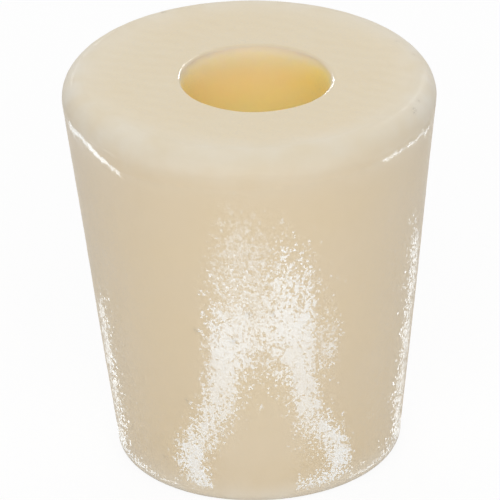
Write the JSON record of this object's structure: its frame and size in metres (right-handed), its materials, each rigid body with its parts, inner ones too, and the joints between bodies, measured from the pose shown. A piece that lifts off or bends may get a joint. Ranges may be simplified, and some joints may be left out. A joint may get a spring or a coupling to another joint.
{
  "type": "rubber stopper",
  "caption": "Tapered solid rubber laboratory stopper with softly rounded edges and a round hole right through it for a glass tube or thermometer.",
  "frame": {"origin": "centre of the small end's flat face, on the axis of the tapered wall, where the stopper stands", "axes": "+Z along the taper's axis, from the small end to the large end; the hole's axis is parallel to it, 0.4 mm towards +X and 0.5 mm towards -Y"},
  "size_m": [0.0236, 0.0236, 0.026],
  "materials": {
    "cream_rubber": "satin, faintly grained natural rubber, cream, slightly translucent"
  },
  "bodies": {
    "root": {"stopper": "cream_rubber"}
  },
  "joints": []
}
